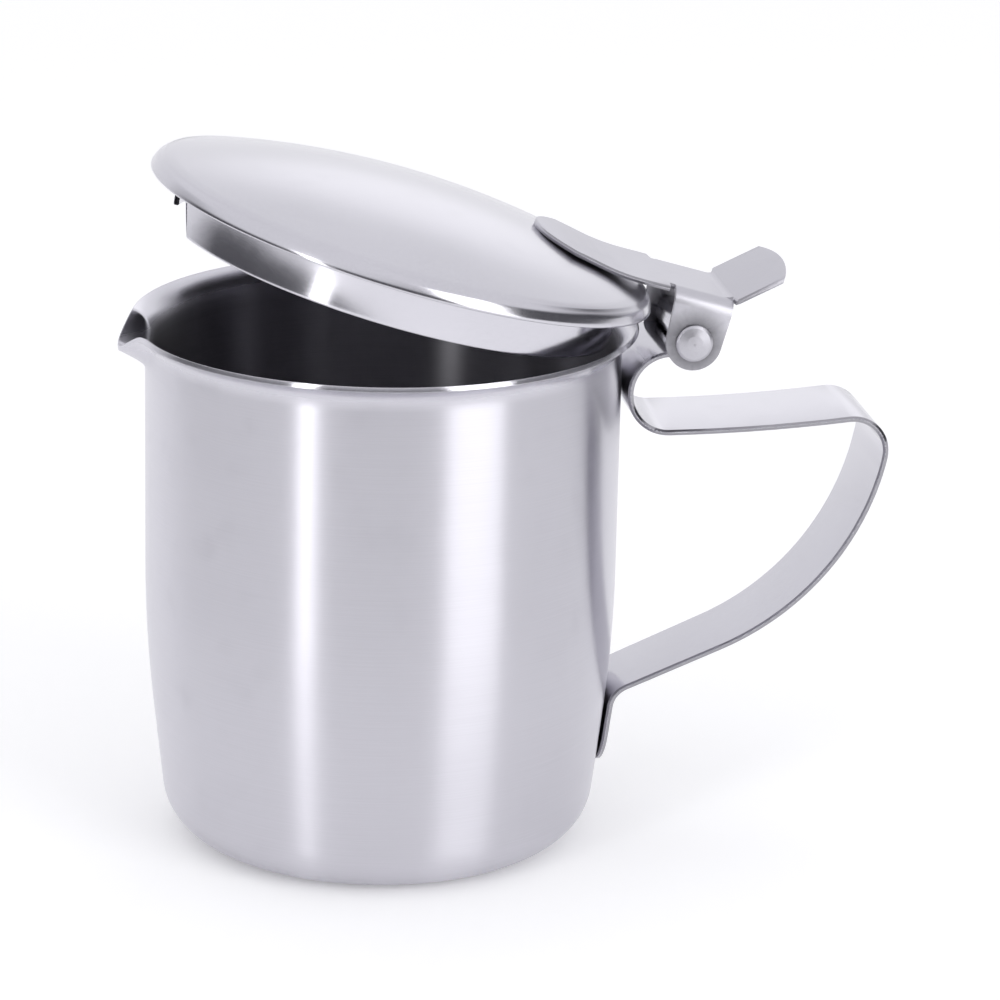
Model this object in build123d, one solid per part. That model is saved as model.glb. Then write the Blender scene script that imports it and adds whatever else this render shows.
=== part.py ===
# Lidded creamer in stainless sheet. Millimetres.
# Origin at the middle of the base. Z is up, the handle points to +X and the spout to -X.
# The lid is drawn shut and then swung open about the hinge pin to the angle it stands at.
import math
import os
from build123d import *

os.makedirs("parts", exist_ok=True)

# Jug body, spun sheet
body_radius = 37.0
sheet = 0.8
rim_height = 83.4
base_taper = 3.6
cone_lean = 6.4
base_corner_radius = 8.4
shoulder_blend_radius = 215.0
lip_bend_radius = 3.8
lip_bend_angle = 70.0
chord_turn = 12.0

# Pouring spout pressed out of the rim
spout_reach = 4.3
spout_half_width = 8.2
spout_plan_radius = 6.0
spout_side_angle = 17.5
spout_throat_inset = 0.6
spout_throat_drop = 5.1
spout_tip_drop = 3.4
spout_round = 2.5
spout_run_past = 3.4
spout_widening = 0.02

# Hinge, placed from the wall and the rim
pin_setback = 10.0
pin_drop = 2.4
pin_radius = 1.5
pin_fit = 0.05
knuckle_wrap = 300.0
side_gap = 0.3
seat_gap = 0.02
lever_sheet = 0.8
head_radius = 2.9
head_height = 0.9
head_wall = 0.35
crown_inset = 0.4
crown_rise = 0.3

# Handle, one flat strap bent to shape
strap_thickness = 0.9
strap_width = 18.0
strap_narrowing = 3.6
foot_half_width = 6.4
hook_radius = 6.35
grip_bow_radius = 290.0
corner_radius = 5.5
back_radius = 42.0
back_center_setback = 0.2
strap_taper_drop = 8.7
tail_slope = 23.0
tail_meet_z = 22.75
tail_taper_rise = 2.25
foot_bend_radius = 3.6
foot_taper_z = 15.0
foot_bottom_z = 9.5

# Lid
rest_opening = 15.8
closed_gap = 0.3
lid_overhang = 0.6
bead_height = 2.5
bead_inset = 1.2
bead_foot_inset = 0.35
bead_side_low = 0.45
bead_side_high = 0.95
bead_shoulder_rise = 1.65
bead_shoulder_inset = 0.45
hem_inset = 0.5
hem_edge = 0.4
hem_rise = 0.5
dome_height = 5.6
lid_sheet = 0.8
skirt_play = 0.8
skirt_depth = 6.2
notch_play = 2.3
notch_narrowing = 5.0

# Thumb lever on the lid, placed from the pin
lever_nose_run = 27.2
lever_nose_length = 5.0
lever_contact_run = 18.0
lever_rise = 7.75
lever_bend_run = 4.2
lever_bend_radius = 3.0
lever_tip_rise = 41.0
lever_tip_run = 12.0
lever_tip_bulge = 1.2
lever_tip_step = 0.4
fold_radius = 2.4
ear_radius = 4.4
ear_left_run = 6.0
ear_edge_run = 0.3

# How far cutting shapes run past what they cut
spare = 10.0
cut_through = 200.0

# Places worked out from the sizes above
cone_foot_radius = body_radius - base_taper
spout_tip_reach = body_radius + spout_reach
spout_throat_x = body_radius - spout_throat_inset
pin_x = body_radius + pin_setback
pin_z = rim_height - pin_drop
skirt_radius = body_radius - sheet - skirt_play
notch_half_width = spout_half_width + notch_play
lever_nose_x = pin_x - lever_nose_run
lever_contact_x = pin_x - lever_contact_run
lever_top_z = pin_z + lever_rise
lever_bend_x = pin_x + lever_bend_run
lever_tip_reach = pin_x + lever_tip_run
ear_left_x = pin_x - ear_left_run


def on_circle(cx, cz, radius, degrees):
    a = math.radians(degrees)
    return (cx + radius * math.cos(a), cz + radius * math.sin(a))


def arc(cx, cz, radius, start, end):
    middle = (start + end) / 2
    return ThreePointArc(
        on_circle(cx, cz, radius, start),
        on_circle(cx, cz, radius, middle),
        on_circle(cx, cz, radius, end),
    )


def chords(cx, cz, radius, start, end):
    # a round stretch of a spun profile as short chords, which keeps the facets few
    count = math.ceil(abs(end - start) / chord_turn)
    step = (end - start) / count
    return Polyline(*[on_circle(cx, cz, radius, start + step * i) for i in range(count + 1)])


def spun(edges):
    return revolve(Plane.XZ * make_face(edges), Axis.Z)


# Side of the jug: flat base, round corner, slight cone, long blend, straight wall, flared lip
lean = math.radians(cone_lean)
flare_z = rim_height - (lip_bend_radius + sheet) * math.sin(math.radians(lip_bend_angle))
flare_x = body_radius + lip_bend_radius
corner_cx = cone_foot_radius - base_corner_radius * (1 - math.sin(lean)) / math.cos(lean)
blend_cx = body_radius - shoulder_blend_radius
blend_cz = (
    shoulder_blend_radius * (1 - math.cos(lean))
    + (body_radius - cone_foot_radius) * math.cos(lean)
) / math.sin(lean)


def wall_edges(inset):
    round_r = base_corner_radius - inset
    corner = chords(corner_cx, base_corner_radius, round_r, 270, 360 - cone_lean)
    blend = arc(blend_cx, blend_cz, shoulder_blend_radius - inset, -cone_lean, 0)
    bend_r = lip_bend_radius + inset
    flare = chords(flare_x, flare_z, bend_r, 180, 180 - lip_bend_angle)
    return [
        Line((0, inset), corner @ 0),
        corner,
        Line(corner @ 1, blend @ 0),
        blend,
        Line(blend @ 1, flare @ 0),
        flare,
    ]


outer_side = wall_edges(0)
inner_side = wall_edges(sheet)
rim_face = Line(outer_side[-1] @ 1, inner_side[-1] @ 1)
base_middle = Line((0, 0), (0, sheet))
jug = spun(outer_side + inner_side + [rim_face, base_middle])


# Spout: a shallow round-bottomed trough that runs out and up through the rim
def trough_z(x):
    share = (x - spout_throat_x) / (spout_tip_reach - spout_throat_x)
    throat = rim_height - spout_throat_drop
    tip = rim_height - spout_tip_drop
    return throat + share * (tip - throat)


def trough_half(x):
    share = (x - spout_throat_x) / (spout_tip_reach - spout_throat_x)
    return spout_half_width * (1 + spout_widening * share)


def trough_section(x, under, top):
    bottom = trough_z(x)
    slope = math.atan2(rim_height - bottom, trough_half(x))
    lift = spout_round * (1 / math.cos(slope) - 1)
    drop = under / math.cos(slope)
    wide = (top - bottom + drop) / math.tan(slope)
    far = (wide, top)
    near = (-wide, top)
    touch_y = spout_round * math.sin(slope)
    touch_z = bottom - lift + touch_y * math.tan(slope) - drop
    low_z = bottom - lift + spout_round * (1 / math.cos(slope) - 1) - under
    curve = ThreePointArc((-touch_y, touch_z), (0, low_z), (touch_y, touch_z))
    outline = make_face([
        Line(near, (-touch_y, touch_z)),
        curve,
        Line((touch_y, touch_z), far),
        Line(far, near),
    ])
    return Plane(origin=(-x, 0, 0), x_dir=(0, 1, 0), z_dir=(1, 0, 0)) * outline


def trough(under, top):
    start = trough_section(spout_throat_x - spout_run_past, under, top)
    end = trough_section(spout_tip_reach + spout_run_past, under, top)
    return loft([start, end], ruled=True)


# seen from above, the spout has two straight sides that run into a rounded tip
side_angle = math.radians(spout_side_angle)
plan_x = spout_tip_reach - spout_plan_radius
side_x = plan_x + spout_plan_radius * math.cos(side_angle)
side_y = spout_plan_radius * math.sin(side_angle)
end_y = side_y + (side_x - spout_throat_x) / math.tan(side_angle)
plan_face = make_face([
    Line((-spout_throat_x, -end_y), (-side_x, -side_y)),
    ThreePointArc((-side_x, -side_y), (-spout_tip_reach, 0), (-side_x, side_y)),
    Line((-side_x, side_y), (-spout_throat_x, end_y)),
    Line((-spout_throat_x, end_y), (-spout_throat_x, -end_y)),
])
plan_block = Pos(0, 0, rim_height - spare) * extrude(plan_face, spare)
hollow = trough(0, rim_height + spare)
shell = trough(sheet, rim_height + spare) & plan_block
inside_mouth = Pos(0, 0, rim_height - spare) * Cylinder(
    body_radius - sheet / 2, 2 * spare, align=(Align.CENTER, Align.CENTER, Align.MIN)
)
spout = (shell - hollow) - inside_mouth
jug_body = (jug - hollow) + spout
export_step(jug_body, "parts/jug_body.step")

# Handle strap: knuckle round the pin, hook against the body, grip, corner, back, tail and foot
half_strap = strap_thickness / 2
knuckle_mid = pin_radius + pin_fit + half_strap
slope = math.radians(tail_slope)
foot_line_x = cone_foot_radius + (seat_gap + half_strap) / math.cos(lean)
meet_x = foot_line_x + tail_meet_z * math.tan(lean)
back_center_x = body_radius + back_center_setback
back_center_z = (
    tail_meet_z + (back_center_x - meet_x) * math.tan(slope) + back_radius / math.cos(slope)
)
hook_cz = pin_z - knuckle_mid - hook_radius
hook_cx = body_radius + seat_gap + half_strap + hook_radius


def circles_cross(x1, z1, r1, x2, z2, r2):
    apart = math.hypot(x2 - x1, z2 - z1)
    along = (apart ** 2 + r1 ** 2 - r2 ** 2) / (2 * apart)
    aside = math.sqrt(r1 ** 2 - along ** 2)
    ux = (x2 - x1) / apart
    uz = (z2 - z1) / apart
    return (x1 + along * ux - aside * uz, z1 + along * uz + aside * ux)


# the grip is a long shallow bow that leaves the hook level; the corner touches it and the back
bow_cz = hook_cz - hook_radius + grip_bow_radius
corner_x, corner_z = circles_cross(
    hook_cx, bow_cz, grip_bow_radius + corner_radius,
    back_center_x, back_center_z, back_radius - corner_radius,
)
grip_turn = math.degrees(math.atan2(corner_x - hook_cx, bow_cz - corner_z))
corner_turn = math.degrees(math.atan2(corner_z - back_center_z, corner_x - back_center_x))

knuckle = arc(pin_x, pin_z, knuckle_mid, 270 + knuckle_wrap, 270)
hook = arc(hook_cx, hook_cz, hook_radius, 90, 270)
grip = arc(hook_cx, bow_cz, grip_bow_radius, 270, 270 + grip_turn)
corner = arc(corner_x, corner_z, corner_radius, 90 + grip_turn, corner_turn)
back = arc(back_center_x, back_center_z, back_radius, corner_turn, tail_slope - 90)

# the foot runs parallel to the cone, and the tail's line meets it at tail_meet_z
turn = math.radians(90 - cone_lean - tail_slope)
bend_mid = foot_bend_radius + half_strap
bend_run = bend_mid * math.tan(turn / 2)
bend_start_x = meet_x + bend_run * math.cos(slope)
bend_start_z = tail_meet_z + bend_run * math.sin(slope)
bend_cx = bend_start_x + bend_mid * math.sin(slope)
bend_cz = bend_start_z - bend_mid * math.cos(slope)
foot_bend = arc(bend_cx, bend_cz, bend_mid, 90 + tail_slope, 180 - cone_lean)
foot_end = (foot_line_x + foot_bottom_z * math.tan(lean), foot_bottom_z)

strap_path = [
    knuckle,
    Line(knuckle @ 1, hook @ 0),
    hook,
    grip,
    corner,
    back,
    Line(back @ 1, foot_bend @ 0),
    foot_bend,
    Line(foot_bend @ 1, foot_end),
]
strap_side = trace(strap_path, line_width=strap_thickness)
strap_long = extrude(Plane.XZ * strap_side, strap_width / 2, both=True)

half_top = strap_width / 2
half_low = half_top - strap_narrowing / 2
right_side = [
    (half_top, pin_z + spare),
    (half_top, back_center_z - strap_taper_drop),
    (half_low, tail_meet_z + tail_taper_rise),
    (foot_half_width, foot_taper_z),
]
left_side = [(-y, z) for y, z in reversed(right_side)]
foot_curve = ThreePointArc(right_side[-1], (0, foot_bottom_z), left_side[0])
strap_front = make_face([
    Polyline(*right_side),
    foot_curve,
    Polyline(*left_side),
    Line(left_side[-1], right_side[0]),
])
strap_cutter = extrude(Plane.YZ * strap_front, cut_through)
handle_strap = strap_long & strap_cutter
export_step(handle_strap, "parts/handle_strap.step")

# Hinge pin: a shaft with a formed head at both ends
ear_inner = half_top + side_gap
ear_outer = ear_inner + lever_sheet
head_seat = ear_outer + seat_gap
head_top = head_seat + head_height
crown_half = head_radius - crown_inset
crown_radius = (crown_half ** 2 + crown_rise ** 2) / (2 * crown_rise)
crown_angle = math.degrees(math.asin(crown_half / crown_radius))
head_crown = chords(0, head_top - crown_radius, crown_radius, 90 - crown_angle, 90)
pin_half = make_face([
    Line((0, 0), (pin_radius, 0)),
    Line((pin_radius, 0), (pin_radius, head_seat)),
    Line((pin_radius, head_seat), (head_radius, head_seat)),
    Line((head_radius, head_seat), (head_radius, head_seat + head_wall)),
    Line((head_radius, head_seat + head_wall), head_crown @ 0),
    head_crown,
    Line((0, head_top), (0, 0)),
])
pin_end = revolve(pin_half, Axis.Y)
hinge_pin = Pos(pin_x, 0, pin_z) * (pin_end + mirror(pin_end, Plane.XZ))


def swing_open(solid):
    return solid.rotate(Axis((pin_x, 0, pin_z), (0, 1, 0)), rest_opening)


# Lid cover: a shallow dome with a rolled bead round its edge
bead_low = rim_height + closed_gap
lid_radius = (outer_side[-1] @ 1).X + lid_overhang
crease_r = lid_radius - bead_inset
crease_z = bead_low + bead_height
dome_radius = (crease_r ** 2 + dome_height ** 2) / (2 * dome_height)
dome_cz = crease_z + dome_height - dome_radius


def dome_z(r, offset):
    return dome_cz + math.sqrt((dome_radius + offset) ** 2 - r ** 2)


def dome_arc(r0, r1, offset):
    middle = (r0 + r1) / 2
    return ThreePointArc(
        (r0, dome_z(r0, offset)), (middle, dome_z(middle, offset)), (r1, dome_z(r1, offset))
    )


hem_r = crease_r - hem_inset
bead_foot_r = lid_radius - bead_foot_inset
bead_round = Polyline(
    (bead_foot_r, bead_low),
    (lid_radius, bead_low + bead_side_low),
    (lid_radius, bead_low + bead_side_high),
    (lid_radius - bead_shoulder_inset, bead_low + bead_shoulder_rise),
    (crease_r, crease_z),
)
top_skin = dome_arc(crease_r, 0, 0)
under_skin = dome_arc(0, hem_r, -lid_sheet)
hem = [
    Line(under_skin @ 1, (hem_r, bead_low + hem_rise)),
    Line((hem_r, bead_low + hem_rise), (hem_r + hem_edge, bead_low)),
    Line((hem_r + hem_edge, bead_low), (bead_foot_r, bead_low)),
]
lid_cover = spun([bead_round, top_skin, Line(top_skin @ 1, under_skin @ 0), under_skin] + hem)
lid_cover = swing_open(lid_cover)
export_step(lid_cover, "parts/lid_cover.step")

# Skirt ring under the lid, open where the spout is
skirt_inner = skirt_radius - sheet
skirt_low = rim_height - skirt_depth
skirt_top = dome_arc(skirt_inner, skirt_radius, -lid_sheet - seat_gap)
skirt_ring = spun([
    skirt_top,
    Line(skirt_top @ 1, (skirt_radius, skirt_low)),
    Line((skirt_radius, skirt_low), (skirt_inner, skirt_low)),
    Line((skirt_inner, skirt_low), skirt_top @ 0),
])
notch_top_half = notch_half_width - notch_narrowing
notch_face = make_face(Polyline(
    (-notch_half_width, skirt_low - spare),
    (-notch_half_width, skirt_low),
    (-notch_top_half, rim_height),
    (-notch_top_half, rim_height + spare),
    (notch_top_half, rim_height + spare),
    (notch_top_half, rim_height),
    (notch_half_width, skirt_low),
    (notch_half_width, skirt_low - spare),
    close=True,
))
notch = extrude(Plane.YZ * notch_face, -2 * skirt_radius)
lid_skirt = swing_open(skirt_ring - notch)
export_step(lid_skirt, "parts/lid_skirt.step")

# Thumb lever: follows the dome, runs level over the hinge, turns up to a rounded tip
half_lever = lever_sheet / 2
plate_mid_z = lever_top_z - half_lever
lie = seat_gap + half_lever
contact_z = dome_z(lever_contact_x, lie)
contact_slope = math.asin(lever_contact_x / (dome_radius + lie))
# the sweep leaves the dome where contact ends and is level where it reaches the plate's height
sweep_run = (contact_z - plate_mid_z) / math.sin(contact_slope)
sweep_radius = sweep_run / math.tan(contact_slope / 2)
sweep_end_x = lever_contact_x + sweep_run * (1 + math.cos(contact_slope))
sweep_turn = math.degrees(contact_slope)
sweep = arc(sweep_end_x, plate_mid_z + sweep_radius, sweep_radius, 270 - sweep_turn, 270)
tip_rise = math.radians(lever_tip_rise)
bend_mid_r = lever_bend_radius + half_lever
tip_bend_run = bend_mid_r * math.tan(tip_rise / 2)
tip_bend_x = lever_bend_x - tip_bend_run
tip_bend = arc(tip_bend_x, plate_mid_z + bend_mid_r, bend_mid_r, 270, 270 + lever_tip_rise)
tip_start = tip_bend @ 1
tip_run = lever_tip_reach + spare - tip_start.X
tip_end = (tip_start.X + tip_run, tip_start.Y + tip_run * math.tan(tip_rise))
lever_path = [
    dome_arc(lever_nose_x - 1, lever_contact_x, lie),
    sweep,
    Line((sweep_end_x, plate_mid_z), (tip_bend_x, plate_mid_z)),
    tip_bend,
    Line(tip_start, tip_end),
]
plate_side = trace(lever_path, line_width=lever_sheet)
plate = extrude(Plane.XZ * plate_side, spare + ear_outer, both=True)

ear_right_x = pin_x + ear_radius
flat_half = ear_outer - fold_radius
tip_half = ear_outer - lever_tip_step
nose_end_x = lever_nose_x + lever_nose_length
tip_flat_x = lever_tip_reach - lever_tip_bulge
upper_edge = [
    (nose_end_x, ear_outer),
    (ear_left_x - ear_edge_run, ear_outer),
    (ear_left_x, flat_half),
    (ear_right_x, flat_half),
    (ear_right_x + ear_edge_run, tip_half),
    (tip_flat_x, tip_half),
]
lower_edge = [(x, -y) for x, y in reversed(upper_edge)]
tip_curve = ThreePointArc(upper_edge[-1], (lever_tip_reach, 0), lower_edge[0])
nose_curve = ThreePointArc(lower_edge[-1], (lever_nose_x, 0), upper_edge[0])
plate_plan = make_face([
    Polyline(*upper_edge),
    tip_curve,
    Polyline(*lower_edge),
    nose_curve,
])
plate = plate & (Pos(0, 0, pin_z) * extrude(plate_plan, cut_through))

# Ears: the same sheet folded down on both sides of the strap
inner_fold = fold_radius - lever_sheet
ear_foot_z = pin_z - ear_radius - spare
outer_u = Polyline(
    (-ear_outer, ear_foot_z),
    (-ear_outer, lever_top_z),
    (ear_outer, lever_top_z),
    (ear_outer, ear_foot_z),
    close=True,
)
inner_u = Polyline(
    (-ear_inner, ear_foot_z - spare),
    (-ear_inner, lever_top_z - lever_sheet),
    (ear_inner, lever_top_z - lever_sheet),
    (ear_inner, ear_foot_z - spare),
    close=True,
)


def rounded(outline, radius):
    face = make_face(outline)
    tops = face.vertices().sort_by(Axis.Y)[-2:]
    return fillet(tops, radius)


u_section = rounded(outer_u, fold_radius) - rounded(inner_u, inner_fold)
u_bar = extrude(Plane.YZ * u_section, cut_through)
ear_side = make_face(Polyline(
    (ear_left_x, lever_top_z + spare),
    (ear_right_x, lever_top_z + spare),
    (ear_right_x, pin_z),
    (pin_x - ear_radius, pin_z),
    close=True,
)) + Pos(pin_x, pin_z) * Circle(ear_radius)
ear_side = ear_side - Pos(pin_x, pin_z) * Circle(pin_radius + seat_gap)
ears = u_bar & extrude(Plane.XZ * ear_side, ear_outer + spare, both=True)
lid_lever = swing_open(plate + ears)
export_step(lid_lever, "parts/lid_lever.step")
export_step(hinge_pin, "parts/hinge_pin.step")
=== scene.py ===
import math

import bmesh
import bpy
from mathutils import Matrix, Vector


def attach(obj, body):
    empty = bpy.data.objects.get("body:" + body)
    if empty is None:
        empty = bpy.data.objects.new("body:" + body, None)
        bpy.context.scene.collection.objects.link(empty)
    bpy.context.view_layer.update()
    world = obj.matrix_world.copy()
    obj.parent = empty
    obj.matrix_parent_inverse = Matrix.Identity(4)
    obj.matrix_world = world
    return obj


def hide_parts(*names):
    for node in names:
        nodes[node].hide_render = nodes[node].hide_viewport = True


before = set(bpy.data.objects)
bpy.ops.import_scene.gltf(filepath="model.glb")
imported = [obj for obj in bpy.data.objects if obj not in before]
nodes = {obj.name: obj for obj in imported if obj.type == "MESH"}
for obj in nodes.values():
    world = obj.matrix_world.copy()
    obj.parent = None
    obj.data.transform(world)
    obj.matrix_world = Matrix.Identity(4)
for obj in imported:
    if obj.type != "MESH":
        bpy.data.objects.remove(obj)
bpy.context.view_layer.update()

# Lengths are in metres, and the camera's and the lights' angles in degrees.

# Viewpoint of the photograph
IMAGE_PIXELS = 1000
FOCAL_PIXELS = 4442
SENSOR_WIDTH = 36
CLIP_START = 0.01
CLIP_END = 20
AZIMUTH = -8.0
ELEVATION = 18.22
DISTANCE = 0.7
AIM = Vector((0, 0, 0.045))
TURN_ASIDE = -1.60
LOOK_DOWN = 17.51
ROLL = 1.32

# Light and floor
LIGHT_AIM = Vector((0, 0, 0.05))
LIGHT_ELEVATION = 18
LIGHT_DISTANCE = 0.9
LIGHT_HEIGHT = 0.7
ROOM_WHITE = (0.97, 0.97, 1.0, 1)
ROOM_DIM = (0.10, 0.10, 0.11, 1)
DIM_UP_TO = 0.38
WHITE_FROM = 0.60
BACK_FROM = 0.75
FRONT_FROM = 0.35
PATCH_TOWARD = Vector((0.285, 0.92, 0.285))
PATCH_EDGE = 0.975
PATCH_LIGHT = 0.32
FLOOR_SIDE = 2.5
FLOOR_FRONT = -0.9
PAPER_GRAIN = 300.0
PAPER_DARK = (0.95, 0.95, 0.95, 1)
PAPER_LIGHT = (0.97, 0.97, 0.97, 1)
PAPER_GLOW = 0.17

# Hinge
PIN_X = 0.047
PIN_Z = 0.081
OPENING = math.radians(15.8)

# Jug
BODY_RADIUS = 0.0370
SHEET = 0.0008
RIM_Z = 0.0834
FOOT_RADIUS = 0.0334
CONE_LEAN = math.radians(6.4)
CORNER_RADIUS = 0.0084
BLEND_RADIUS = 0.215
LIP_RADIUS = 0.0038
LIP_ANGLE = math.radians(70)
WALL_RINGS = (0.055, 0.065)
EDGE_OUT = 0.00004
EDGE_UP = 0.00001

# Spout: it starts in the wall at SPOUT_FROM. Each bend point is out from the wall, down from the
# rim, and the share of the sheet's thickness that it moves down by.
SPOUT_FROM = 0.0720
SPOUT_TIP = 0.04125
SPOUT_TIP_Z = RIM_Z - 0.0034
SPOUT_HALF_ANGLE = math.radians(13.5)
SPOUT_BEND = ((0.0, 0.0068, 0.6), (0.0004, 0.0056, 1.0), (0.0017, 0.0048, 1.0))

# Lid, drawn shut. Each bead point is a radius and a height over BEAD_LOW.
LID_RADIUS = 0.0401
LID_SHEET = 0.0008
CREASE_RADIUS = 0.0389
CREASE_Z = 0.08618
DOME_HEIGHT = 0.0056
DOME_RADIUS = (CREASE_RADIUS ** 2 + DOME_HEIGHT ** 2) / (2 * DOME_HEIGHT)
DOME_Z = CREASE_Z + DOME_HEIGHT - DOME_RADIUS
DOME_EDGE = 0.0386
DOME_EDGE_UNDER = 0.0384
BEAD_LOW = 0.0837
BEAD = (
    (0.0389, 0.0006), (0.0389, 0.0), (0.0398, 0.0), (LID_RADIUS, 0.0001), (LID_RADIUS, 0.0005),
    (0.03990, 0.0010), (0.03958, 0.0017), (0.03930, 0.0020), (0.0390, 0.0022),
)

# Skirt
SKIRT_RADIUS = 0.0354
SKIRT_LOW = RIM_Z - 0.0062
SKIRT_GAP = 0.00003
SKIRT_FLARE = 0.0005
HEM = 0.0010
HEM_CORNER = 0.0001
NOTCH_HALF_WIDTH = 0.0107
NOTCH_NARROWING = 0.0050

# Finish of the steel: its colour at a tone is the tone times STEEL_TINT over the tint's green.
STEEL_TINT = (0.66, 0.65, 0.70)
EDGE_RADIUS = 0.0002
LINE_BUMP = 0.00002
LINE_SHARE = 0.6
CLOUD_SCALE = 55.0
SMUDGE_SCALE = 160.0
SMUDGE_DULLNESS = 0.03
TONE_SPREAD = 0.03
# How much the painted shade's tone varies.
PAINTED_SHADE_TONE_SPREAD = 0.04
ROUGHNESS_SPREAD = 0.12
MIXED_LOW = 0.3
MIXED_HIGH = 0.7
POLISHED_FROM = 0.0800
LIP_FADE = 0.0015
LIP_ROUGHNESS = 0.20
LIP_START = 0.0805
INSIDE_FADE = 0.003
INWARD_FROM = -0.3
INWARD_FULL = -0.6
# The inside of the jug is painted this darker tone as shade.
INSIDE_PAINTED_SHADE_TONE = 0.47
INSIDE_ROUGHNESS = 0.30
RIVET_NEAR = 0.0029
RIVET_FAR = 0.0060
# A darker ring round the rivet's heads is painted on as shade.
RIVET_PAINTED_SHADE_TONE = 0.20
RIVET_RING_ROUGHNESS = 0.40
QUARTER_TURN = 0.25

# How fine the meshes are. The turns and the sharp angles are in degrees, and the jug's wall is
# finer from SPOUT_SIDE round to the same place on the spout's other side.
CORNER_STEPS = 16
BLEND_STEPS = 10
FLOOR_STEPS = 6
FLARE_STEPS = 12
UPPER_STEPS = 22
SPOUT_SIDE = 165
COARSE_TURN = 2
FINE_TURN = 0.5
DOME_STEPS = 24
SKIRT_STEPS = 10
COVER_SEGMENTS = 192
SKIRT_SEGMENTS = 168
CORNER_CUTS = 3
JUG_SHARP_ABOVE = 60
LID_SHARP_ABOVE = 40
MERGE = 0.000001
WELD = 0.000002
LARGE_FACES_FIRST = 80
ROUNDING = 1e-12

# Brush lines, as how finely the noise is squeezed along X, Y and Z
ROUND_THE_WALL = (60.0, 60.0, 9000.0)
ROUND_THE_SKIRT = (900.0, 900.0, 9000.0)
LENGTHWISE = (900.0, 9000.0, 900.0)
FINE_GRAIN = (3000.0, 3000.0, 3000.0)


def away(azimuth, elevation):
    """The direction from the object to a place at these angles."""
    a = math.radians(azimuth)
    e = math.radians(elevation)
    return Vector((math.sin(a) * math.cos(e), -math.cos(a) * math.cos(e), math.sin(e)))


def add_camera():
    back = away(AZIMUTH + TURN_ASIDE, LOOK_DOWN)
    side = Vector((0, 0, 1)).cross(back).normalized()
    up = back.cross(side)
    roll = math.radians(ROLL)
    right = math.cos(roll) * side + math.sin(roll) * up
    top = math.cos(roll) * up - math.sin(roll) * side
    data = bpy.data.cameras.new("camera")
    data.sensor_width = SENSOR_WIDTH
    data.lens = FOCAL_PIXELS / IMAGE_PIXELS * data.sensor_width
    data.clip_start = CLIP_START
    data.clip_end = CLIP_END
    camera = bpy.data.objects.new("camera", data)
    bpy.context.scene.collection.objects.link(camera)
    turn = Matrix((right, top, back)).transposed().to_4x4()
    camera.matrix_world = Matrix.Translation(AIM + DISTANCE * away(AZIMUTH, ELEVATION)) @ turn
    bpy.context.scene.camera = camera


class Nodes:
    """A short way to add and join the nodes of a material or a world."""

    def __init__(self, owner, shader="Principled BSDF"):
        owner.use_nodes = True
        self.tree = owner.node_tree
        self.shader = self.tree.nodes[shader]

    def put(self, value, socket):
        if isinstance(value, bpy.types.NodeSocket):
            self.tree.links.new(value, socket)
        else:
            socket.default_value = value

    def add(self, kind, settings=None, inputs=None):
        node = self.tree.nodes.new(kind)
        for name, value in (settings or {}).items():
            setattr(node, name, value)
        for name, value in (inputs or {}).items():
            self.put(value, node.inputs[name])
        return node

    def set(self, name, value):
        self.put(value, self.shader.inputs[name])

    def math(self, operation, a, b):
        return self.add("ShaderNodeMath", {"operation": operation}, {0: a, 1: b}).outputs[0]

    def vector(self, operation, inputs, output=0):
        return self.add("ShaderNodeVectorMath", {"operation": operation}, inputs).outputs[output]

    def noise(self, place, scale, detail, roughness):
        inputs = {"Vector": place, "Scale": scale, "Detail": detail, "Roughness": roughness}
        return self.add("ShaderNodeTexNoise", None, inputs).outputs["Fac"]

    def ramp(self, value, low, high, out_low=0.0, out_high=1.0, kind="LINEAR"):
        inputs = {"Value": value, "From Min": low, "From Max": high}
        inputs.update({"To Min": out_low, "To Max": out_high})
        settings = {"clamp": True, "interpolation_type": kind}
        return self.add("ShaderNodeMapRange", settings, inputs).outputs["Result"]

    def mix_values(self, factor, one, two):
        inputs = {0: factor, 2: one, 3: two}
        return self.add("ShaderNodeMix", {"data_type": "FLOAT"}, inputs).outputs[0]

    def mix_colours(self, factor, one, two):
        inputs = {0: factor, 6: one, 7: two}
        return self.add("ShaderNodeMix", {"data_type": "RGBA"}, inputs).outputs[2]

    def mix_tones(self, factor, tone, spread):
        """Steel from a little darker than the tone to a little lighter."""
        return self.mix_colours(factor, tinted(tone - spread), tinted(tone + spread))


def tinted(tone):
    """The colour of steel at a tone."""
    return (*(tone * c / STEEL_TINT[1] for c in STEEL_TINT), 1)


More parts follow.
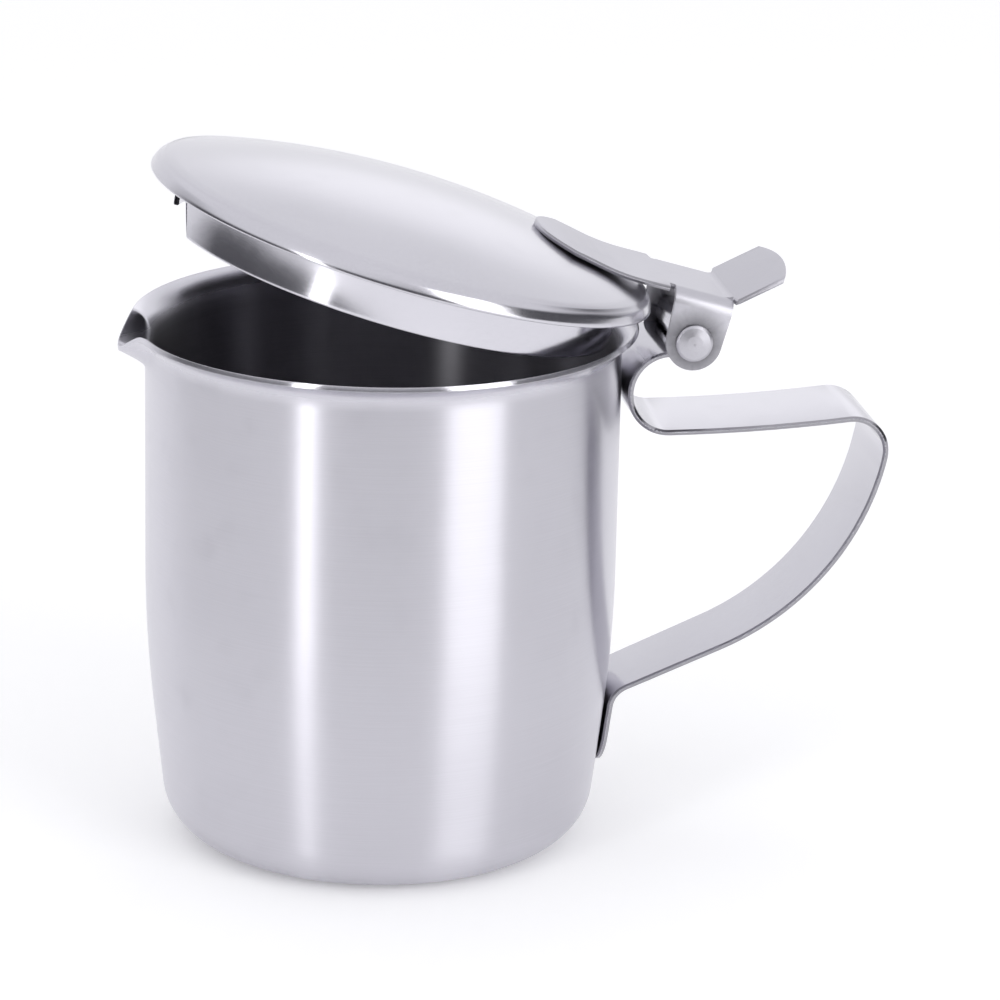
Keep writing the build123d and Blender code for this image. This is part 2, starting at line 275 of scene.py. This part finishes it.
def steel(name, tone, rough, lines_along, line_depth, painted_shade_and_dull=None, brushed=0.0, lip_from=None):
    """Stainless steel with fine brush lines, faint clouds, smudges and softened edges.

    The function for painted shade and dulling gives a 0 to 1 factor, and the darker tone painted as
    shade and the roughness where it is 1.
    brushed is the anisotropy of steel brushed round Z, and above lip_from it is polished.
    """
    material = bpy.data.materials.new(name)
    n = Nodes(material)
    place = n.add("ShaderNodeTexCoord").outputs["Object"]
    squeezed = n.add("ShaderNodeMapping", None, {"Vector": place, "Scale": lines_along}).outputs[0]
    lines = n.noise(squeezed, scale=1.0, detail=3.0, roughness=0.65)
    clouds = n.noise(place, CLOUD_SCALE, detail=2.0, roughness=0.5)
    smudges = n.ramp(n.noise(place, SMUDGE_SCALE, detail=2.0, roughness=0.6), 0.55, 0.75)
    mixed = n.math(
        "ADD", n.math("MULTIPLY", lines, LINE_SHARE), n.math("MULTIPLY", clouds, 1 - LINE_SHARE),
    )
    share = n.ramp(mixed, MIXED_LOW, MIXED_HIGH)
    colour = n.mix_tones(share, tone, TONE_SPREAD)
    low, high = rough * (1 - ROUGHNESS_SPREAD), rough * (1 + ROUGHNESS_SPREAD)
    dullness = n.ramp(mixed, MIXED_LOW, MIXED_HIGH, low, high)
    dullness = n.math("ADD", dullness, n.math("MULTIPLY", smudges, SMUDGE_DULLNESS))
    # Painted shade: where the factor is 1 the colour goes to a darker tone and the roughness
    # changes.
    if painted_shade_and_dull:
        factor, painted_shade_tone, dull_rough = painted_shade_and_dull(n)
        colour = n.mix_colours(factor, colour, n.mix_tones(share, painted_shade_tone, PAINTED_SHADE_TONE_SPREAD))
        dullness = n.mix_values(factor, dullness, dull_rough)
    if lip_from:
        height = n.add("ShaderNodeSeparateXYZ", None, {0: place}).outputs["Z"]
        lip = n.ramp(height, lip_from, lip_from + LIP_FADE)
        dullness = n.mix_values(lip, dullness, LIP_ROUGHNESS)
    n.set("Base Color", colour)
    n.set("Roughness", dullness)
    n.set("Metallic", 1.0)
    edge = n.add("ShaderNodeBevel", {"samples": 4}, {"Radius": EDGE_RADIUS}).outputs[0]
    bump = n.add("ShaderNodeBump", None, {
        "Strength": line_depth, "Distance": LINE_BUMP, "Height": lines, "Normal": edge,
    })
    n.set("Normal", bump.outputs[0])
    if brushed:
        n.set("Anisotropic", brushed)
        n.set("Anisotropic Rotation", QUARTER_TURN)
        radial = {"direction_type": "RADIAL", "axis": "Z"}
        n.set("Tangent", n.add("ShaderNodeTangent", radial).outputs[0])
    return material


def inside_jug(n):
    """The unpolished inside, painted darker as shade: faces that look towards the jug's axis, below
    the lip.
    """
    coord = n.add("ShaderNodeTexCoord")
    flat = n.vector("MULTIPLY", {0: coord.outputs["Object"], 1: (1, 1, 0)})
    out = n.vector("NORMALIZE", {0: flat})
    facing = n.vector("DOT_PRODUCT", {0: coord.outputs["Normal"], 1: out}, "Value")
    inward = n.ramp(facing, INWARD_FROM, INWARD_FULL)
    height = n.add("ShaderNodeSeparateXYZ", None, {0: coord.outputs["Object"]}).outputs["Z"]
    below = n.ramp(height, LIP_START, LIP_START - INSIDE_FADE)
    return n.math("MULTIPLY", inward, below), INSIDE_PAINTED_SHADE_TONE, INSIDE_ROUGHNESS


def round_the_rivet(n):
    """A painted shade ring on the ears, darker and rougher close round the rivet's heads."""
    coord = n.add("ShaderNodeTexCoord").outputs["Object"]
    from_pin = n.add("ShaderNodeMapping", None, {
        "Vector": coord, "Location": (-PIN_X, 0, -PIN_Z), "Scale": (1, 0, 1),
    })
    far = n.vector("LENGTH", {0: from_pin.outputs[0]}, "Value")
    return n.ramp(far, RIVET_FAR, RIVET_NEAR), RIVET_PAINTED_SHADE_TONE, RIVET_RING_ROUGHNESS


def paint(node, material):
    node.material_slots[0].material = material


def blend_shading(node):
    """Joins the shading across a CAD node's short chords and thin edges; its shape stays."""
    node.modifiers.new("weld", "WELD").merge_threshold = WELD
    node.modifiers.new("weighted", "WEIGHTED_NORMAL").weight = LARGE_FACES_FIRST


def soften(points):
    """Cuts the corners of an open line again and again; its ends stay."""
    near, far = 0.75, 0.25
    for _ in range(CORNER_CUTS):
        cut = [points[0]]
        for (x0, z0), (x1, z1) in zip(points, points[1:]):
            cut.append((near * x0 + far * x1, near * z0 + far * z1))
            cut.append((far * x0 + near * x1, far * z0 + near * z1))
        cut.append(points[-1])
        points = cut
    return points


def arc_points(cx, cz, radius, start, end, count):
    turns = [start + (end - start) * i / count for i in range(count + 1)]
    return [(cx + radius * math.cos(a), cz + radius * math.sin(a)) for a in turns]


def spread_evenly(points, count):
    """The same line as count + 1 points, evenly spaced along it."""
    runs = [math.dist(a, b) for a, b in zip(points, points[1:])]
    step = sum(runs) / count
    out = [points[0]]
    done = 0.0
    at = step
    for (a, b), run in zip(zip(points, points[1:]), runs):
        while run > 0 and at <= done + run + ROUNDING and len(out) < count:
            t = (at - done) / run
            out.append((a[0] + (b[0] - a[0]) * t, a[1] + (b[1] - a[1]) * t))
            at += step
        done += run
    return out + [points[-1]]


def between(one, two, share):
    """The line that lies a share of the way from one line to another, point by point."""
    return [(p[0] + (q[0] - p[0]) * share, p[1] + (q[1] - p[1]) * share) for p, q in zip(one, two)]


def column(bm, line, angle):
    """Vertices for a line of (radius, height) points, at an angle round Z."""
    return [bm.verts.new((r * math.cos(angle), r * math.sin(angle), z)) for r, z in line]


def join(bm, columns, line_closed, round_closed):
    """Fills the space between neighbouring columns with quads."""
    for one, two in zip(columns, columns[1:] + (columns[:1] if round_closed else [])):
        count = len(one)
        for k in range(count if line_closed else count - 1):
            after = (k + 1) % count
            bm.faces.new((one[k], two[k], two[after], one[after]))


def swing_open(mesh):
    """Turns a piece drawn with the lid shut to the lid's place at rest."""
    to_pin = Matrix.Translation((PIN_X, 0, PIN_Z))
    mesh.transform(to_pin @ Matrix.Rotation(OPENING, 4, "Y") @ to_pin.inverted())


def make_piece(name, bm, sharp_above, material, on_lid):
    """The mesh as an object, smooth but where its faces meet at more than sharp_above degrees."""
    bmesh.ops.remove_doubles(bm, verts=bm.verts, dist=MERGE)
    bmesh.ops.recalc_face_normals(bm, faces=bm.faces)
    mesh = bpy.data.meshes.new(name)
    bm.to_mesh(mesh)
    bm.free()
    if on_lid:
        swing_open(mesh)
    mesh.polygons.foreach_set("use_smooth", [True] * len(mesh.polygons))
    mesh.set_sharp_from_angle(angle=math.radians(sharp_above))
    mesh.materials.append(material)
    piece = bpy.data.objects.new(name, mesh)
    bpy.context.scene.collection.objects.link(piece)
    return piece


def lathe(name, outline, steps, material, opening=None):
    """Turns a closed outline of (radius, height) points round Z, for a piece of the lid.

    opening gives half the width of a gap on the -X side at a height, and its ends are closed.
    """
    bm = bmesh.new()
    columns = []
    for i in range(steps + (1 if opening else 0)):
        verts = []
        for r, z in outline:
            gap = math.asin(opening(z) / r) if opening else 0.0
            angle = -math.pi + gap + (2 * math.pi - 2 * gap) * i / steps
            verts += column(bm, [(r, z)], angle)
        columns.append(verts)
    join(bm, columns, True, not opening)
    if opening:
        bm.faces.new(columns[0])
        bm.faces.new(list(reversed(columns[-1])))
    return make_piece(name, bm, LID_SHARP_ABOVE, material, True)


def jug_side(inset):
    """One side of the sheet: the line below the spout, then its upper part twice, away from
    the spout and at the spout's middle."""
    corner_x = FOOT_RADIUS - CORNER_RADIUS * (1 - math.sin(CONE_LEAN)) / math.cos(CONE_LEAN)
    blend_x = BODY_RADIUS - BLEND_RADIUS
    taper = BODY_RADIUS - FOOT_RADIUS
    blend_z = BLEND_RADIUS * (1 - math.cos(CONE_LEAN)) + taper * math.cos(CONE_LEAN)
    blend_z /= math.sin(CONE_LEAN)
    flare_x = BODY_RADIUS + LIP_RADIUS
    flare_z = RIM_Z - (LIP_RADIUS + SHEET) * math.sin(LIP_ANGLE)
    wall = BODY_RADIUS - inset
    start = (wall, SPOUT_FROM)
    corner = arc_points(
        corner_x, CORNER_RADIUS, CORNER_RADIUS - inset, -math.pi / 2, -CONE_LEAN, CORNER_STEPS,
    )
    blend = arc_points(blend_x, blend_z, BLEND_RADIUS - inset, -CONE_LEAN, 0, BLEND_STEPS)
    floor = [(corner[0][0] * i / FLOOR_STEPS, inset) for i in range(FLOOR_STEPS)]
    lower = floor + corner + blend + [(wall, z) for z in WALL_RINGS] + [start]
    flare = arc_points(
        flare_x, flare_z, LIP_RADIUS + inset, math.pi, math.pi - LIP_ANGLE, FLARE_STEPS,
    )
    drop = SHEET - inset
    bend = [(wall + out, RIM_Z - down - drop * share) for out, down, share in SPOUT_BEND]
    spout = soften([start] + bend + [(SPOUT_TIP, SPOUT_TIP_Z - drop)])
    return lower, spread_evenly([start] + flare, UPPER_STEPS), spread_evenly(spout, UPPER_STEPS)


def jug_wall():
    """The spun jug, with the spout drawn out of its rim in one sheet."""
    outer_low, outer_plain, outer_spout = jug_side(0.0)
    inner_low, inner_plain, inner_spout = jug_side(SHEET)
    angles = [math.radians(a) for a in range(1 - SPOUT_SIDE, SPOUT_SIDE, COARSE_TURN)]
    fine_steps = int(2 * (180 - SPOUT_SIDE) / FINE_TURN)
    angles += [math.radians(SPOUT_SIDE + i * FINE_TURN) for i in range(fine_steps)]
    bm = bmesh.new()
    columns = []
    for angle in angles:
        aside = abs(math.remainder(angle - math.pi, 2 * math.pi)) / SPOUT_HALF_ANGLE
        drawn = 0.5 + 0.5 * math.cos(math.pi * aside) if aside < 1 else 0.0
        outer = between(outer_plain, outer_spout, drawn)
        inner = between(inner_plain, inner_spout, drawn)
        edge = (
            (outer[-1][0] + inner[-1][0]) / 2 + EDGE_OUT,
            (outer[-1][1] + inner[-1][1]) / 2 + EDGE_UP,
        )
        outside = outer_low + outer[1:]
        inside = list(reversed(inner[1:])) + list(reversed(inner_low))
        columns.append(column(bm, outside + [edge] + inside, angle))
    join(bm, columns, False, True)
    # The wall's inside is painted darker as shade.
    material = steel(
        "body_brushed", 0.645, 0.32, ROUND_THE_WALL, line_depth=0.25,
        painted_shade_and_dull=inside_jug, brushed=0.97, lip_from=POLISHED_FROM,
    )
    return make_piece("jug_body_fine", bm, JUG_SHARP_ABOVE, material, False)


def dome(r, under=0.0):
    """The dome's height at a radius, on its top or that far under it."""
    return DOME_Z + math.sqrt((DOME_RADIUS - under) ** 2 - r ** 2)


def lid_cover():
    """The dome and its rolled bead, with a fine groove where the bead begins."""
    bead = [(r, BEAD_LOW + rise) for r, rise in BEAD] + [(DOME_EDGE, dome(DOME_EDGE))]
    top = [DOME_EDGE * (1 - i / DOME_STEPS) for i in range(DOME_STEPS + 1)]
    under = [DOME_EDGE_UNDER * i / DOME_STEPS for i in range(DOME_STEPS + 1)]
    outline = soften(bead) + [(r, dome(r)) for r in top] + [(r, dome(r, LID_SHEET)) for r in under]
    material = steel("cover_polished", 0.58, 0.18, FINE_GRAIN, line_depth=0.04)
    return lathe("lid_cover_fine", outline, COVER_SEGMENTS, material)


def notch(z):
    """Half the width of the skirt's opening at a height."""
    share = min(max((z - SKIRT_LOW) / (RIM_Z - SKIRT_LOW), 0.0), 1.0)
    return NOTCH_HALF_WIDTH - NOTCH_NARROWING * share


def lid_skirt():
    """The ring under the lid, open where the spout is."""
    inner = SKIRT_RADIUS - SHEET
    under = LID_SHEET + SKIRT_GAP
    edge = soften([
        (SKIRT_RADIUS, SKIRT_LOW + HEM), (SKIRT_RADIUS, SKIRT_LOW + HEM_CORNER),
        (SKIRT_RADIUS - HEM_CORNER, SKIRT_LOW), (inner, SKIRT_LOW), (inner, SKIRT_LOW + HEM),
    ])
    side = []
    for i in range(SKIRT_STEPS):
        up = 1 - i / SKIRT_STEPS
        r = SKIRT_RADIUS + SKIRT_FLARE * up ** 2
        side.append((r, SKIRT_LOW + HEM + (dome(r, under) - SKIRT_LOW - HEM) * up))
    outline = side + edge + [(inner, dome(inner, under))]
    material = steel("skirt_polished", 0.60, 0.15, ROUND_THE_SKIRT, line_depth=0.05)
    return lathe("lid_skirt_fine", outline, SKIRT_SEGMENTS, material, notch)


def add_floor():
    """A flat sheet of pale paper."""
    mesh = bpy.data.meshes.new("floor")
    corners = [
        (-FLOOR_SIDE, FLOOR_FRONT, 0), (FLOOR_SIDE, FLOOR_FRONT, 0),
        (FLOOR_SIDE, FLOOR_SIDE, 0), (-FLOOR_SIDE, FLOOR_SIDE, 0),
    ]
    mesh.from_pydata(corners, [], [(0, 1, 2, 3)])
    floor = bpy.data.objects.new("floor", mesh)
    bpy.context.scene.collection.objects.link(floor)
    material = bpy.data.materials.new("paper")
    n = Nodes(material)
    place = n.add("ShaderNodeTexCoord").outputs["Object"]
    grain = n.add("ShaderNodeTexNoise", None, {"Vector": place, "Scale": PAPER_GRAIN})
    n.set("Base Color", n.mix_colours(grain.outputs["Fac"], PAPER_DARK, PAPER_LIGHT))
    n.set("Roughness", 0.9)
    n.set("Specular IOR Level", 0.1)
    n.set("Emission Color", (1, 1, 1, 1))
    n.set("Emission Strength", PAPER_GLOW)
    mesh.materials.append(material)


def add_light(name, azimuth, width, radiance):
    data = bpy.data.lights.new(name, "AREA")
    data.shape = "RECTANGLE"
    data.size = width
    data.size_y = LIGHT_HEIGHT
    data.energy = radiance * math.pi * width * LIGHT_HEIGHT
    light = bpy.data.objects.new(name, data)
    bpy.context.scene.collection.objects.link(light)
    direction = away(azimuth, LIGHT_ELEVATION)
    light.location = LIGHT_AIM + LIGHT_DISTANCE * direction
    light.rotation_euler = direction.to_track_quat("Z", "Y").to_euler()
    light.visible_camera = False


def add_world():
    """A white room, dim in front between the table and the soft light above.

    A slightly brighter place behind shows in the dome as a soft patch.
    """
    world = bpy.data.worlds.new("studio")
    bpy.context.scene.world = world
    n = Nodes(world, "Background")
    n.set("Strength", 1.0)
    place = n.add("ShaderNodeTexCoord").outputs["Generated"]
    split = n.add("ShaderNodeSeparateXYZ", None, {0: place})
    rise = n.add("ShaderNodeValToRGB", None, {0: split.outputs["Z"]})
    stops = rise.color_ramp.elements
    stops[0].position, stops[0].color = DIM_UP_TO, ROOM_DIM
    stops[1].position, stops[1].color = WHITE_FROM, ROOM_WHITE
    front = n.ramp(split.outputs["Y"], BACK_FROM, FRONT_FROM)
    room = n.mix_colours(front, ROOM_WHITE, rise.outputs["Color"])
    toward = n.vector("DOT_PRODUCT", {0: place, 1: PATCH_TOWARD.normalized()}, "Value")
    patch = n.ramp(toward, PATCH_EDGE, 1.0, 0.0, PATCH_LIGHT, "SMOOTHSTEP")
    lit = n.vector("ADD", {0: room, 1: patch})
    seen = n.add("ShaderNodeLightPath").outputs["Is Camera Ray"]
    n.set("Color", n.mix_colours(seen, lit, ROOM_WHITE))


add_camera()
add_world()
add_floor()
add_light("key_right", azimuth=36, width=0.44, radiance=2.5)
add_light("strip_left", azimuth=-43, width=0.13, radiance=4.4)
bpy.context.scene.view_settings.view_transform = "Standard"

strap_steel = steel("strap_polished", 0.57, 0.16, LENGTHWISE, line_depth=0.05)
# The lever's ears are painted darker as shade round the rivet.
lever_steel = steel("lever_polished", 0.54, 0.38, LENGTHWISE, line_depth=0.05, painted_shade_and_dull=round_the_rivet)
pin_steel = steel("pin_dull", 0.50, 0.36, FINE_GRAIN, line_depth=0.1)
paint(nodes["handle_strap"], strap_steel)
paint(nodes["lid_lever"], lever_steel)
paint(nodes["hinge_pin"], pin_steel)
for piece, node, body, slot in (
    (jug_wall(), "jug_body", "jug", "body_steel"),
    (lid_cover(), "lid_cover", "lid", "cover_steel"),
    (lid_skirt(), "lid_skirt", "lid", "skirt_steel"),
):
    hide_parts(node)
    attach(piece, body)

for name in ("handle_strap", "lid_lever"):
    blend_shading(nodes[name])
